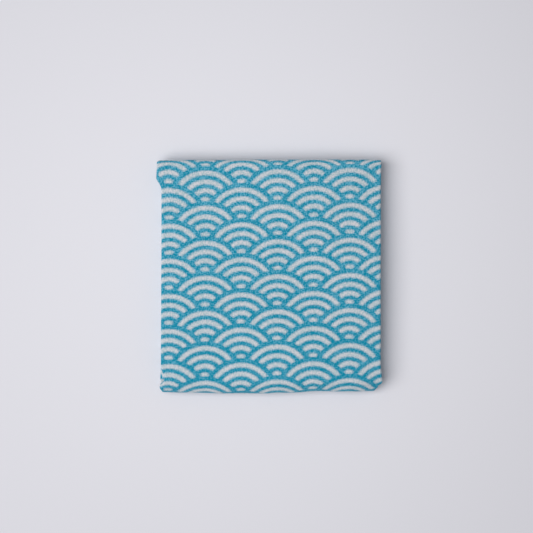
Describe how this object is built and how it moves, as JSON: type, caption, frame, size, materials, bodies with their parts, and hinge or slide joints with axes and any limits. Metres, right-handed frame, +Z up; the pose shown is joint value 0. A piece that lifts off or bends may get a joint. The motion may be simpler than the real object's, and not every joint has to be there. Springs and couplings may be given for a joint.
{
  "type": "folded face towel",
  "caption": "Square soft gauze face towel with a traditional overlapping-wave pattern, hemmed and folded over into a flat pad, for drying hands and face.",
  "frame": {"origin": "middle of the footprint, on the surface that the folded towel rests on", "axes": "+Z up out of the patterned front third, +Y along the folded length from the wide bottom fold to the drooping top fold, +X across it from the tight fold to the wider fold"},
  "size_m": [0.1158, 0.12, 0.0132],
  "materials": {
    "cotton_gauze": "matt soft cotton gauze, teal waves printed on off-white"
  },
  "bodies": {
    "root": {"towel": "cotton_gauze"}
  },
  "joints": []
}
